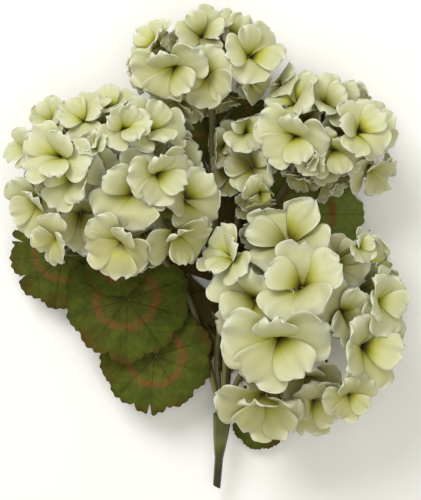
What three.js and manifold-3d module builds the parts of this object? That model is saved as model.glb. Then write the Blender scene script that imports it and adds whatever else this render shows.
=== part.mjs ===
// Artificial geranium bush, lying on its flower heads: a moulded stub holds five stems, each stem
// carries one head of cream florets and a few scalloped leaves.
// Millimetres. X runs across the bush, Y along it from the stub to the tip, Z up from the surface.
import * as THREE from 'three';
import { mergeVertices } from 'three/addons/utils/BufferGeometryUtils.js';
import Module from 'manifold-3d';

const wasm = await Module();
wasm.setup();

// Driving dimensions
const PETAL_THICKNESS = 0.8;
const LEAF_THICKNESS = 0.8;
const CLEARANCE = 0.3;
const TOLERANCE = 0.02;
const STEM_RADIUS = 2.2;
const STEM_END_RADIUS = 1.5;
const STALK_RADIUS = 1.2;
const STEM_RING = 2.95;
const SOCKET_DEPTH = 12;
const STEM_TAPER = 45;
const STUB_TOP = new THREE.Vector3(10.2, -103, 23);
const STUB_TIP = new THREE.Vector3(6.4, -153, 14);

// The middle of the bush's footprint, which is the origin of the finished model
const FOOTPRINT_CENTRE = new THREE.Vector3(-2.05, -2.85, 0);

const CREAM = { color: 0xd8d8b4, roughness: 0.85, metalness: 0 };
const GREEN = { color: 0x56662c, roughness: 0.7, metalness: 0 };
const OLIVE = { color: 0x4a4719, roughness: 0.5, metalness: 0 };
const STUB_GREEN = { color: 0x64703a, roughness: 0.35, metalness: 0 };

// The flower heads. A floret is [x, y, petal length, turn of its first petal in degrees], with x and
// y from the head's centre. The florets below the widest part are spread evenly, by a rule.
const HEADS = [
  {
    name: 'head_left',
    centre: [-55, 41, 46],
    reach: [64, 56, 53],
    florets: [
      [27, 2, 20, 35], [13, -8, 24, 0], [-30, 12, 22, 56], [23, 29, 20, 10], [43, -12, 21, 50],
      [8, 29, 16, 83], [-17, 36, 17, 60], [-2, 42, 16, 87], [-9, 6, 18, 100], [-23, 0, 19, 20],
      [38, -33, 21, 250], [-20, -22, 22, 265], [4, -38, 20, 270], [-46, -14, 20, 200],
      [-52, 18, 16, 150], [-7, -20, 16, 30], [-38, 36, 15, 130], [-34, -36, 16, 235],
    ],
    lower: 7,
    lowerTurn: -50,
  },
  {
    name: 'head_top',
    centre: [-1, 113, 35],
    reach: [46, 34, 43],
    florets: [
      [-19, -6, 23, 37], [1, -10, 18, 48], [-16, -24, 17, 24], [-1, 16, 18, 60], [28, 3, 20, 335],
      [17, 14, 17, 0], [-7, 7, 12, 90], [-30, 10, 15, 130], [28, -13, 15, 300],
    ],
    lower: 5,
    lowerTurn: 0,
  },
  {
    name: 'head_right',
    centre: [71, 68, 41],
    reach: [44, 41, 43],
    florets: [
      [-19, -2, 22, 5], [-19, 20, 19, 36], [1, 18, 18, 28], [5, -10, 18, 350], [19, 1, 18, 33],
      [28, -20, 19, 16], [9, 22, 15, 80], [29, 4, 15, 30], [-27, 31, 16, 150],
    ],
    lower: 6,
    lowerTurn: 0,
  },
  {
    name: 'head_front',
    centre: [58, -41, 51],
    reach: [59, 70, 50],
    florets: [
      [-16, -12, 31, 24], [-3, 20, 25, 15], [-43, 35, 20, 20], [-30, 11, 26, 142], [-10, 45, 29, 30],
      [23, 2, 22, 356], [44, 10, 19, 60], [35, -17, 25, 345], [-23, -49, 27, 30], [26, -46, 15, 180],
      [6, -51, 20, 330], [32, 42, 11, 90], [43, -6, 17, 30],
    ],
    lower: 7,
    lowerTurn: -75,
  },
  {
    name: 'head_back',
    centre: [25, 51, 37],
    reach: [32, 32, 22],
    florets: [
      [-1, 20, 16, 95], [3, -1, 17, 250], [-14, 12, 15, 120], [8, -19, 15, 270], [-10, -4, 14, 200],
      [14, 28, 14, 60],
    ],
    lower: 3,
    lowerTurn: 0,
  },
];

// Each stem runs from the stub to the hub of its head, with the stalks of the leaves on it
const STEMS = [
  {
    name: 'stem_left',
    ring: 162,
    route: [[1, -70, 20], [-4, -53, 17], [-10, -34, 16], [-20, -17, 19], [-40, 12, 35], [-51, 32, 46]],
  },
  {
    name: 'stem_top',
    ring: 90,
    route: [[12, -66, 27], [10, -31, 28], [6, 5, 27], [4, 44, 27], [4, 80, 32], [1, 102, 40]],
  },
  {
    name: 'stem_right',
    ring: 306,
    route: [[15, -68, 17], [24, -25, 16], [37, 15, 18], [53, 45, 28], [66, 61, 41]],
  },
  {
    name: 'stem_front',
    ring: 18,
    route: [[21, -80, 26], [37, -62, 34], [52, -46, 47]],
  },
  {
    name: 'stem_back',
    ring: 234,
    route: [[7, -68, 15], [13, -25, 14], [19, 12, 16], [24, 40, 29], [25, 47, 33]],
  },
];

// The leaves: the stem that each is on and how far along, the place of the hub, the size, the
// direction of the open notch, and which way the blade leans
const LEAVES = [
  { name: 'leaf_left', stem: 'stem_left', root: 0.68, hub: [-90, -4, 16], size: 33, notch: 45,
    lean: [0.1, 0.1] },
  { name: 'leaf_inner', stem: 'stem_left', root: 0.6, hub: [-56, -12, 30], size: 19, notch: 62,
    lean: [0, 0.35] },
  { name: 'leaf_middle', stem: 'stem_left', root: 0.43, hub: [-49, -32, 28], size: 38, notch: 90,
    lean: [0, 0.22] },
  { name: 'leaf_lower', stem: 'stem_left', root: 0.27, hub: [-32, -67, 25], size: 35, notch: 85,
    lean: [-0.08, 0.1] },
  { name: 'leaf_right', stem: 'stem_right', root: 0.6, hub: [62, 21, 9.5], size: 37, notch: 219,
    lean: [0.05, 0.1] },
  { name: 'leaf_top', stem: 'stem_top', root: 0.83, hub: [17, 88, 16], size: 19, notch: 239,
    lean: [0.05, 0] },
  { name: 'leaf_upper', stem: 'stem_top', root: 0.7, hub: [-5, 61, 12], size: 22, notch: 293,
    lean: [-0.1, 0.1] },
  { name: 'leaf_bottom', stem: 'stem_front', root: 0.42, hub: [35, -110, 9], size: 18, notch: 115,
    lean: [0, -0.1] },
  { name: 'leaf_stem', stem: 'stem_back', root: 0.25, hub: [9, -60, 4], size: 19, notch: 255,
    lean: [0, 0] },
  { name: 'leaf_centre', stem: 'stem_back', root: 0.65, hub: [12, 18, 8], size: 21, notch: 272,
    lean: [0, 0] },
  { name: 'leaf_deep', stem: 'stem_back', root: 0.52, hub: [24, -7, 4], size: 19, notch: 180,
    lean: [0, 0] },
  { name: 'leaf_under', stem: 'stem_back', root: 0.33, hub: [-1, -47, 8.5], size: 20, notch: 325,
    lean: [0, 0] },
  { name: 'leaf_hidden', stem: 'stem_back', root: 0.4, hub: [-12, -16, 4], size: 16.5, notch: 330,
    lean: [0, 0] },
];

const wave = (a, b) => Math.sin(2.3 * a + 4.1 * b);
const degrees = (angle) => (angle * Math.PI) / 180;

// A closed mesh as a solid, with the vertices that its faces share merged
function solidOf(geometry) {
  const bare = geometry.clone();
  bare.deleteAttribute('normal');
  bare.deleteAttribute('uv');
  const merged = mergeVertices(bare, 1e-4);
  const mesh = new wasm.Mesh({
    numProp: 3,
    vertProperties: new Float32Array(merged.attributes.position.array),
    triVerts: new Uint32Array(merged.index.array),
  });
  return new wasm.Manifold(mesh);
}

function cutHoles(solid, holes) {
  return holes.reduce((rest, hole) => rest.subtract(hole), solid);
}

// The outer skin of a solid's largest body, without loose scraps or sealed hollows, and with edges
// shorter than the tolerance drawn together
function mainBody(solid) {
  const bodies = solid.asOriginal().simplify(TOLERANCE).decompose();
  return bodies.reduce((best, body) => (body.volume() > best.volume() ? body : best));
}

function geometryOf(solid) {
  const mesh = solid.getMesh();
  const geometry = new THREE.BufferGeometry();
  geometry.setAttribute('position', new THREE.BufferAttribute(mesh.vertProperties, 3));
  geometry.setIndex(new THREE.BufferAttribute(mesh.triVerts, 1));
  return geometry;
}

// A thin blade: its middle surface is given by points and triangles, and its edge by a loop of
// point numbers. Both faces have the same triangles, half the thickness to either side.
function bladeGeometry(points, triangles, loop, thickness, pressed) {
  const normals = points.map(() => new THREE.Vector3());
  const side = new THREE.Vector3();
  const other = new THREE.Vector3();
  for (const [a, b, c] of triangles) {
    side.subVectors(points[b], points[a]);
    other.subVectors(points[c], points[a]);
    const normal = side.cross(other).normalize();
    for (const corner of [a, b, c]) normals[corner].add(normal);
  }
  const positions = [];
  const half = thickness / 2;
  for (const sign of [1, -1]) {
    points.forEach((point, i) => {
      const normal = normals[i].normalize();
      const wall = pressed[i];
      const way = wall ? wall.clone().multiplyScalar(Math.sign(wall.dot(normal)) || 1) : normal;
      const offset = point.clone().addScaledVector(way, sign * half);
      positions.push(offset.x, offset.y, offset.z);
    });
  }
  const count = points.length;
  const faces = [];
  for (const [a, b, c] of triangles) faces.push(a, b, c, a + count, c + count, b + count);
  loop.forEach((a, i) => {
    const b = loop[(i + 1) % loop.length];
    faces.push(a, a + count, b + count, a, b + count, b);
  });
  const geometry = new THREE.BufferGeometry();
  geometry.setAttribute('position', new THREE.Float32BufferAttribute(positions, 3));
  geometry.setIndex(faces);
  return geometry;
}

// A tube along a curve whose radius changes from its start to its end, with both ends closed
function tubeGeometry(curve, radiusAt, steps, sides) {
  const frames = curve.computeFrenetFrames(steps, false);
  const positions = [];
  for (let i = 0; i <= steps; i++) {
    const centre = curve.getPointAt(i / steps);
    const radius = radiusAt(i / steps);
    for (let j = 0; j < sides; j++) {
      const angle = (2 * Math.PI * j) / sides;
      const point = centre.clone();
      point.addScaledVector(frames.normals[i], radius * Math.cos(angle));
      point.addScaledVector(frames.binormals[i], radius * Math.sin(angle));
      positions.push(point.x, point.y, point.z);
    }
  }
  for (const end of [0, 1]) {
    const centre = curve.getPointAt(end);
    positions.push(centre.x, centre.y, centre.z);
  }
  const startCentre = (steps + 1) * sides;
  const endCentre = startCentre + 1;
  const faces = [];
  for (let j = 0; j < sides; j++) {
    const next = (j + 1) % sides;
    for (let i = 0; i < steps; i++) {
      const low = i * sides;
      const high = low + sides;
      faces.push(low + j, low + next, high + next, low + j, high + next, high + j);
    }
    faces.push(startCentre, next, j);
    faces.push(endCentre, steps * sides + j, steps * sides + next);
  }
  const geometry = new THREE.BufferGeometry();
  geometry.setAttribute('position', new THREE.Float32BufferAttribute(positions, 3));
  geometry.setIndex(faces);
  return geometry;
}

function curveThrough(points) {
  return new THREE.CatmullRomCurve3(points.map((p) => (p.isVector3 ? p : new THREE.Vector3(...p))));
}

// Where neighbouring pieces press on each other they part at a plane: the first list keeps to the
// side that the normal points to, the second to the other side
const PARTINGS = [
  [['head_back'], [], [0, 0, 14], [0, 0, 1]],
  [['head_front'], ['head_left'], [0, 2, 60], [0.85, -0.52, 0.1]],
  [['head_front'], ['head_right'], [60, 28, 60], [0, -0.8, 0.6]],
  [['head_right'], ['head_top'], [38, 98, 60], [0.8, -0.6, 0.1]],
  [['head_right'], ['head_back'], [40, 60, 55], [0.75, 0, 0.6]],
  [['head_top'], ['head_back'], [15, 80, 40], [-0.2, 1, 0.2]],
  [['head_left'], ['head_back'], [5, 50, 45], [-1, 0, 0.2]],
  [['head_left'], ['head_top'], [-32, 88, 50], [-0.4, -0.9, 0.2]],
  [['head_front'], ['head_back'], [40, 25, 45], [0.2, -0.9, 0.4]],
  [['head_left'], ['leaf_left', 'leaf_inner', 'leaf_middle'], [-55, -8, 34], [0, 0.7, 0.7]],
  [['head_left'], ['leaf_upper'], [-22, 52, 18], [-0.7, 0, 0.7]],
  [['head_back'], ['leaf_top'], [14, 76, 18], [0, -0.3, 0.95]],
  [['head_top'], ['leaf_top', 'leaf_upper'], [5, 92, 15], [0, 0.5, 0.85]],
  [['head_front'], ['leaf_right'], [58, 4, 14], [0, -0.5, 0.87]],
  [['head_right'], ['leaf_right'], [60, 42, 9.5], [0, 0.5, 0.87]],
  [['head_front'], ['leaf_lower'], [9, -50, 28], [0.8, 0, 0.6]],
  [['head_front'], ['leaf_deep'], [40, -24, 7], [0.55, -0.4, 0.73]],
  [['head_front'], ['leaf_bottom'], [44, -96, 12], [0, 0.5, 0.87]],
];

// The planes that a piece keeps clear of, starting with the surface that the bush lies on
function limitsOf(name) {
  const limits = [{ point: new THREE.Vector3(), normal: new THREE.Vector3(0, 0, 1), gap: 0 }];
  for (const [above, below, ...plane] of PARTINGS) {
    const [point, normal] = plane.map((values) => new THREE.Vector3(...values));
    normal.normalize();
    if (below.includes(name)) normal.negate();
    if (above.includes(name) || below.includes(name)) limits.push({ point, normal, gap: CLEARANCE / 2 });
  }
  return limits;
}

// Bends a point of a blade back along each plane that it would come nearer to than the margin,
// towards the blade's front, and tells which plane it was pressed against
function bendClear(point, facing, limits, margin) {
  let pressed = null;
  for (const { point: onPlane, normal, gap } of limits) {
    const depth = margin + gap - point.clone().sub(onPlane).dot(normal);
    if (depth <= 0) continue;
    const along = facing.clone().addScaledVector(normal, -facing.dot(normal));
    point.addScaledVector(normal, depth).addScaledVector(along, depth);
    pressed = normal;
  }
  return pressed;
}

// Petals and florets. Lengths are shares of a petal's length.
const PETALS = 5;
const PETAL_EDGE = [[0.68, -1], [0.95, -1], [0.95, 1], [0.68, 1]];
const PETAL_MIDDLE = [0.6, 0];
const PETAL_WIDEST = 0.7;
const PETAL_TIP = 0.36;
const PETAL_NECK = 0.16;
const PETAL_HALF_WIDTH = 0.46;
const PETAL_RISE = 0.34;
const THROAT_RADIUS = 0.1;
const CLEFT_RADIUS = 0.27;
const CLEFT_RISE = 0.14;
const MEAN_CURL = 0.2;
const RAISED_SIZE = 20;
const PETAL_TILT = 0.28;
const PETAL_TWIST = 0.12;
const PETAL_YAW = 0.05;
const FLORET_CUP = 0.08;
const FLORET_LEAN = 0.25;

// Florets of a head that press on the same plane lie over each other by this much, in millimetres
const PRESS_STEP = 0.13;

// How far one petal of a floret curls back, stands up from the throat, twists, and is turned
function petalShape(seed, k, loose) {
  return {
    curl: MEAN_CURL + 0.12 * wave(seed + 0.4, k),
    tilt: loose * (FLORET_CUP * (1 + wave(seed, 2.2)) + PETAL_TILT * wave(seed + 7, k)),
    twist: loose * PETAL_TWIST * wave(seed + 9, k),
    yaw: loose * PETAL_YAW * wave(seed + 8, k),
  };
}

// A point of a petal, with u from the throat to the tip and v across it: wide past the middle,
// rounded at the tip, rising from the throat and rolling back at its end. The whole petal is then
// tilted about the throat.
function petalPoint(u, v, size, { curl, tilt, twist }) {
  const spread = u < PETAL_WIDEST
    ? PETAL_NECK + (1 - PETAL_NECK) * Math.sin(((Math.PI / 2) * u) / PETAL_WIDEST)
    : Math.sqrt(1 - ((u - PETAL_WIDEST) / PETAL_TIP) ** 2);
  const along = THROAT_RADIUS + (1 - THROAT_RADIUS) * u * (1 - 0.04 * v * v * u);
  const across = PETAL_HALF_WIDTH * v * spread;
  const up = PETAL_RISE * (1 - (1 - u) ** 2) - curl * u ** 3 + 0.05 * v * v * u + twist * v * u;
  const tiltedAlong = along * Math.cos(tilt) - up * Math.sin(tilt);
  const tiltedUp = along * Math.sin(tilt) + up * Math.cos(tilt);
  return [size * tiltedAlong, size * across, size * tiltedUp];
}

// One floret: five petals cut from one piece of cloth round the throat, whose back is drawn out into
// a tapering tail that ends in the hub. The upper florets have a raised middle in each petal.
function floretGeometry(floret, hub, limits) {
  const { throat, facing, size, turn, seed, plain, loose } = floret;
  const start = Math.abs(facing.x) > 0.95 ? new THREE.Vector3(0, 1, 0) : new THREE.Vector3(1, 0, 0);
  const right = start.addScaledVector(facing, -start.dot(facing)).normalize();
  const forward = new THREE.Vector3().crossVectors(facing, right);
  const place = (angle, along, across, up) => {
    const x = along * Math.cos(angle) - across * Math.sin(angle);
    const y = along * Math.sin(angle) + across * Math.cos(angle);
    return throat.clone().addScaledVector(right, x).addScaledVector(forward, y).addScaledVector(facing, up);
  };
  const perPetal = PETAL_EDGE.length + (plain ? 1 : 2);
  const points = [throat.clone()];
  const triangles = [];
  const loop = [];
  for (let k = 0; k < PETALS; k++) {
    const angle = degrees(turn + (360 / PETALS) * k);
    const length = size * (1 + 0.08 * wave(seed, k));
    const shape = petalShape(seed, k, loose);
    const cleft = 1 + k * perPetal;
    const nextCleft = 1 + ((k + 1) % PETALS) * perPetal;
    points.push(place(angle - Math.PI / PETALS, CLEFT_RADIUS * size, 0, CLEFT_RISE * size));
    const petal = (u, v) => place(angle + shape.yaw, ...petalPoint(u, v, length, shape));
    for (const [u, v] of PETAL_EDGE) points.push(petal(u, v));
    const ring = [cleft, ...PETAL_EDGE.map((_, i) => cleft + 1 + i)];
    loop.push(...ring);
    triangles.push([0, cleft, nextCleft]);
    if (plain) {
      const [a, b, c, d, e] = ring;
      triangles.push([b, c, d], [b, d, e], [a, b, e], [a, e, nextCleft]);
    } else {
      const middle = cleft + ring.length;
      points.push(petal(...PETAL_MIDDLE));
      for (let i = 0; i < ring.length; i++) triangles.push([middle, ring[i], ring[i + 1] ?? nextCleft]);
      triangles.push([middle, nextCleft, cleft]);
    }
  }
  const margin = PETAL_THICKNESS / 2 + PRESS_STEP * (seed % PETALS);
  const pressed = points.map((point) => bendClear(point, facing, limits, margin));
  const geometry = bladeGeometry(points, triangles, loop, PETAL_THICKNESS, pressed);
  const tail = hub.clone().lerp(throat, 0.1);
  geometry.attributes.position.setXYZ(points.length, tail.x, tail.y, tail.z);
  return geometry;
}

// Heads: how the florets are placed over and under a hub
const LEVELS = 4;
const LEVEL_STEP = 6.5;
const GOLDEN_ANGLE = 137.5;
const HUB_SHARE = 0.3;
const LOWEST_RISE = 0.25;
const FACING_OUT = 1.15;
const FACING_UP = 0.006;
const LOWER_SIZE = 0.15;
const LOWER_REACH = 0.9;
const LOWER_DEPTH = 0.95;
const LOWER_BAND = 0.92;
const LOWEST_THROAT = 0.18;
const DOWN = new THREE.Vector3(0, 0, -1);

// Florets that would touch stand at different levels, each sunk to the first level that is free
function setLevels(florets) {
  florets.forEach((floret, i) => {
    const near = florets.slice(0, i).filter((other) => {
      const reach = 0.85 * (floret.size + other.size);
      return floret.throat.distanceTo(other.throat) < reach;
    });
    let level = 0;
    while (level < LEVELS - 1 && near.some((other) => other.level === level)) level++;
    floret.level = level;
  });
  for (const { throat, level, sink } of florets) throat.addScaledVector(sink, LEVEL_STEP * level);
}

// The florets of a head: the upper ones as listed, the lower ones spread by the golden angle from
// the one straight below the hub, whose petals press flat on the surface
function floretsOf(head) {
  const centre = new THREE.Vector3(...head.centre);
  const [rx, ry, rz] = head.reach;
  const florets = head.florets.map(([x, y, size, turn], i) => {
    const rise = Math.sqrt(Math.max(LOWEST_RISE ** 2, 1 - (x / rx) ** 2 - (y / ry) ** 2));
    const z = (rz - 0.25 * size) * rise;
    const outward = new THREE.Vector3(x / rx ** 2, y / ry ** 2, 0).multiplyScalar(FACING_OUT);
    const facing = outward.setZ(z / rz ** 2 + FACING_UP).normalize();
    const lean = new THREE.Vector3(wave(i, 0.5), wave(i, 1.3), 0);
    facing.addScaledVector(lean, FLORET_LEAN).normalize();
    const throat = centre.clone().add(new THREE.Vector3(x, y, z));
    return { throat, facing, size, turn, seed: i, plain: size < RAISED_SIZE, loose: 1, sink: DOWN };
  });
  const size = LOWER_SIZE * (rx + ry);
  const depth = Math.min(LOWER_DEPTH * rz, centre.z - LOWEST_THROAT * size);
  for (let i = 0; i < head.lower; i++) {
    const drop = LOWER_BAND * (i / head.lower) - 1;
    const round = Math.sqrt(1 - drop * drop);
    const angle = degrees(head.lowerTurn + GOLDEN_ANGLE * i);
    const way = new THREE.Vector3(round * Math.cos(angle), round * Math.sin(angle), drop);
    const reach = new THREE.Vector3(LOWER_REACH * rx, LOWER_REACH * ry, depth);
    const throat = way.clone().multiply(reach).add(centre);
    const facing = way.clone().divide(reach).normalize();
    const sink = facing.clone().negate();
    florets.push({ throat, facing, size, turn: 40 * i, seed: 30 + i, plain: true, loose: 0, sink });
  }
  setLevels(florets);
  return florets;
}

function stemCurve(stem, extra) {
  const angle = degrees(stem.ring);
  const offset = new THREE.Vector3(STEM_RING * Math.cos(angle), 0, STEM_RING * Math.sin(angle));
  const axis = new THREE.Vector3().subVectors(STUB_TIP, STUB_TOP).normalize();
  const mouth = STUB_TOP.clone().add(offset);
  const foot = mouth.clone().addScaledVector(axis, SOCKET_DEPTH - CLEARANCE + extra);
  const collar = mouth.clone().addScaledVector(axis, -SOCKET_DEPTH / 3);
  const points = [foot, mouth, collar, ...stem.route.map((p) => new THREE.Vector3(...p))];
  const last = points[points.length - 1];
  const before = points[points.length - 2];
  last.addScaledVector(last.clone().sub(before).normalize(), extra);
  return curveThrough(points);
}

// A stem is slim in its socket and among the others above it, and then grows to its full radius
function stemSolid(stem, extra) {
  const curve = stemCurve(stem, extra);
  const length = curve.getLength();
  const radiusAt = (t) => {
    const grown = THREE.MathUtils.smoothstep(t * length, SOCKET_DEPTH, SOCKET_DEPTH + STEM_TAPER);
    return STEM_END_RADIUS + (STEM_RADIUS - STEM_END_RADIUS) * grown + extra;
  };
  return solidOf(tubeGeometry(curve, radiusAt, 10, 6));
}

// A leaf's stalk leaves its stem at the nearest point and ends just under the hub of the blade
function leafStalk(leaf, extra) {
  const stem = STEMS.find((s) => s.name === leaf.stem);
  const curve = stemCurve(stem, 0);
  const hub = new THREE.Vector3(...leaf.hub);
  const start = curve.getPointAt(leaf.root);
  const under = LEAF_THICKNESS / 2 + CLEARANCE;
  const end = hub.clone().add(new THREE.Vector3(0, 0, -under));
  const bend = start.clone().lerp(end, 0.55);
  bend.z = Math.max(Math.min(start.z, end.z - 2), STALK_RADIUS + 2 * CLEARANCE);
  const path = curveThrough([start, bend, end]);
  return solidOf(tubeGeometry(path, () => STALK_RADIUS + extra, 5, 5));
}

// Leaves: lengths are shares of the leaf's size
const LEAF_TEETH = [0.91, 1.01, 1.04, 1.01];
const LEAF_RING = 0.55;
const NOTCH_EDGE = 0.93;
const NOTCH_HALF = degrees(12);
const LARGE_LEAF = 30;
const PLEAT = 0.035;
const DROOP = 0.05;

// One leaf: lobes with toothed edges round the hub, folded along the veins, with a notch where the
// stalk comes in. Large leaves have nine lobes and small ones seven.
function leafGeometry(leaf) {
  const lobes = leaf.size > LARGE_LEAF ? 9 : 7;
  const perLobe = LEAF_TEETH.length;
  const outer = lobes * perLobe;
  const inner = outer / 2;
  const hub = new THREE.Vector3(...leaf.hub);
  const up = new THREE.Vector3(leaf.lean[0], leaf.lean[1], 1).normalize();
  const right = new THREE.Vector3(1, 0, 0).addScaledVector(up, -up.x).normalize();
  const forward = new THREE.Vector3().crossVectors(up, right);
  const place = (share, angle, height) => {
    const x = leaf.size * share * Math.cos(angle);
    const y = leaf.size * share * Math.sin(angle);
    return hub.clone().addScaledVector(right, x).addScaledVector(forward, y).addScaledVector(up, height);
  };
  const point = (share, t) => {
    const angle = degrees(leaf.notch) + NOTCH_HALF + t * (2 * Math.PI - 2 * NOTCH_HALF);
    const fold = PLEAT * Math.cos(2 * Math.PI * lobes * t) - DROOP;
    return place(share, angle, leaf.size * share * share * fold);
  };
  const points = [hub.clone()];
  for (let i = 0; i <= inner; i++) points.push(point(LEAF_RING, i / inner));
  for (let i = 0; i <= outer; i++) {
    const share = i === 0 || i === outer ? NOTCH_EDGE : LEAF_TEETH[i % perLobe];
    points.push(point(share, i / outer));
  }
  const first = inner + 2;
  const triangles = [];
  for (let i = 0; i < inner; i++) {
    const a = 1 + i;
    const b = first + 2 * i;
    triangles.push([0, a, a + 1], [a, b, b + 1], [a, b + 1, a + 1], [a + 1, b + 1, b + 2]);
  }
  const loop = [0, 1];
  for (let i = 0; i <= outer; i++) loop.push(first + i);
  loop.push(1 + inner);
  const limits = limitsOf(leaf.name);
  const pressed = points.map((p) => bendClear(p, up, limits, LEAF_THICKNESS / 2));
  return bladeGeometry(points, triangles, loop, LEAF_THICKNESS, pressed);
}

// Radius of the stub at distances from its top, and the slant of its cut end
const STUB_PROFILE = [[5.7, 0], [5.4, 5], [4.6, 14], [3.6, 22], [2.5, 29]];
const STUB_TIP_RADIUS = 2.2;
const SLANT = -28;

// The stub: a tapered round handle with one blind socket for each stem and a slanted end
function stubSolid() {
  const axis = new THREE.Vector3().subVectors(STUB_TIP, STUB_TOP);
  const length = axis.length();
  axis.normalize();
  const profile = [[0, 0], ...STUB_PROFILE, [STUB_TIP_RADIUS, length], [0, length]];
  const outline = profile.map(([radius, along]) => new THREE.Vector2(radius, along));
  const lathe = new THREE.LatheGeometry(outline, 12);
  const turn = new THREE.Quaternion().setFromUnitVectors(new THREE.Vector3(0, 1, 0), axis);
  lathe.applyQuaternion(turn).translate(STUB_TOP.x, STUB_TOP.y, STUB_TOP.z);
  let stub = solidOf(lathe);
  for (const stem of STEMS) stub = stub.subtract(stemSolid(stem, CLEARANCE));
  const knife = new THREE.BoxGeometry(20, 10, 20);
  knife.translate(0, -5, 0).rotateZ(degrees(SLANT));
  knife.translate(STUB_TIP.x, STUB_TIP.y + 3, STUB_TIP.z);
  return mainBody(stub.subtract(solidOf(knife)));
}

const group = new THREE.Group();

function addPiece(name, solid, look) {
  const mesh = new THREE.Mesh(geometryOf(solid), new THREE.MeshStandardMaterial(look));
  mesh.name = name;
  mesh.position.copy(FOOTPRINT_CENTRE).negate();
  group.add(mesh);
}

addPiece('stub', stubSolid(), STUB_GREEN);

const holes = [];
for (const stem of STEMS) {
  let solid = stemSolid(stem, 0);
  holes.push(stemSolid(stem, CLEARANCE));
  for (const leaf of LEAVES.filter((l) => l.stem === stem.name)) {
    solid = solid.add(leafStalk(leaf, 0));
    holes.push(leafStalk(leaf, CLEARANCE));
  }
  addPiece(stem.name, mainBody(solid), OLIVE);
}

for (const leaf of LEAVES) {
  const blade = solidOf(leafGeometry(leaf));
  addPiece(leaf.name, mainBody(cutHoles(blade, holes)), GREEN);
}

for (const head of HEADS) {
  const centre = new THREE.Vector3(...head.centre);
  const hub = new THREE.IcosahedronGeometry(1, 0);
  hub.scale(...head.reach.map((r) => HUB_SHARE * r)).translate(...head.centre);
  let solid = solidOf(hub);
  const limits = limitsOf(head.name);
  for (const floret of floretsOf(head)) {
    solid = solid.add(solidOf(floretGeometry(floret, centre, limits)));
  }
  addPiece(head.name, mainBody(cutHoles(solid, holes)), CREAM);
}

export default group;
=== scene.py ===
import math
import bpy
import numpy as np
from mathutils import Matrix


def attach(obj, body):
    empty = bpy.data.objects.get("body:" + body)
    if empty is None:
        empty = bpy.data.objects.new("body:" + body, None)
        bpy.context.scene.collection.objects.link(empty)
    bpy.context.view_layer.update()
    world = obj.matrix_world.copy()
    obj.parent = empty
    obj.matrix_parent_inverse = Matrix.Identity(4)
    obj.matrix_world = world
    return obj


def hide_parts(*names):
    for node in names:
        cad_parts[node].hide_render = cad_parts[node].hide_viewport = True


# An artificial geranium bush, lying on its flower heads. The CAD frame gives its stub, stems, leaves
# and heads; this file dresses each of them, in the order in which such a bush is put together.
# Arrays hold millimetres from the CAD source's own zero, and go into meshes as metres.
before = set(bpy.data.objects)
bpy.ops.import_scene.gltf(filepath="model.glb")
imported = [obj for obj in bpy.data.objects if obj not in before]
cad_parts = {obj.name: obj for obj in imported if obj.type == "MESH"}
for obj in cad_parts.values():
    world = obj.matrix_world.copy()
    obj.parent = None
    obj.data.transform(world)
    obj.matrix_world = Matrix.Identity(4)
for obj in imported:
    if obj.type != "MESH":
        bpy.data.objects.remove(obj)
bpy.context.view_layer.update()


# The stub: the moulded handle that all the stems are pushed into. It is one piece of green plastic,
# round and tapered, with a socket for each stem and its lower end cut on the slant.
FOOTPRINT_CENTRE = np.array([-2.05, -2.85, 0.0])
STUB_TOP = np.array([10.2, -103.0, 23.0])
STUB_TIP = np.array([6.4, -153.0, 14.0])
STUB_SIDES = 64
STUB_ROWS = 80
MOULD_LINE = 0.18
STUB_PROFILE = [(0, 5.0), (1.2, 5.7), (5, 5.4), (14, 4.6), (22, 3.6), (29, 2.5), (51, 2.2)]
CUT_POINT = STUB_TIP[:2] + [0.0, 3.0]
CUT_NORMAL = np.array([0.469, 0.883])
STUB_COLOUR = (66, 72, 26)
STUB_LIGHT = (96, 104, 48)
STUB_DARK = (46, 48, 12)


def srgb(red, green, blue):
    """The linear colour of a screen colour from 0 to 255, by the screen's own tone curve."""
    screen = np.array([red, green, blue]) / 255
    linear = np.where(screen < 0.04045, screen / 12.92, ((screen + 0.055) / 1.055) ** 2.4)
    return (*linear.tolist(), 1.0)


def add_node(tree, kind, inputs=None, **settings):
    """A shader node with its settings. An input that is given another node's output is linked to it."""
    node = tree.nodes.new(kind)
    for name, value in settings.items():
        setattr(node, name, value)
    for socket, value in (inputs or {}).items():
        if isinstance(value, bpy.types.NodeSocket):
            tree.links.new(value, node.inputs[socket])
        else:
            node.inputs[socket].default_value = value
    return node


def maths(tree, operation, first, second=0.0):
    """One sum on two numbers or sockets."""
    return add_node(tree, "ShaderNodeMath", {0: first, 1: second}, operation=operation).outputs[0]


def colour_ramp(tree, factor, stops):
    """A colour that runs through the stops, each a place from 0 to 1 and a screen colour."""
    node = add_node(tree, "ShaderNodeValToRGB", {"Fac": factor})
    elements = node.color_ramp.elements
    while len(elements) < len(stops):
        elements.new(0.5)
    for element, (place, colour) in zip(elements, stops):
        element.position = place
        element.color = srgb(*colour)
    return node.outputs["Color"]


def mix_colours(tree, factor, first, second):
    """Two colours mixed by a factor."""
    node = add_node(tree, "ShaderNodeMix", data_type="RGBA")
    for socket, value in zip((node.inputs[0], node.inputs[6], node.inputs[7]), (factor, first, second)):
        if isinstance(value, bpy.types.NodeSocket):
            tree.links.new(value, socket)
        else:
            socket.default_value = value
    return node.outputs[2]


def new_material(name, roughness, **more):
    """An empty material with its Principled shader at a plain roughness, and any further values,
    each by its socket's name with the spaces as underscores."""
    material = bpy.data.materials.new(name)
    material.use_nodes = True
    shader = material.node_tree.nodes["Principled BSDF"]
    shader.inputs["Roughness"].default_value = roughness
    for socket, value in more.items():
        shader.inputs[socket.replace("_", " ")].default_value = value
    return material, material.node_tree, shader


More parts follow.
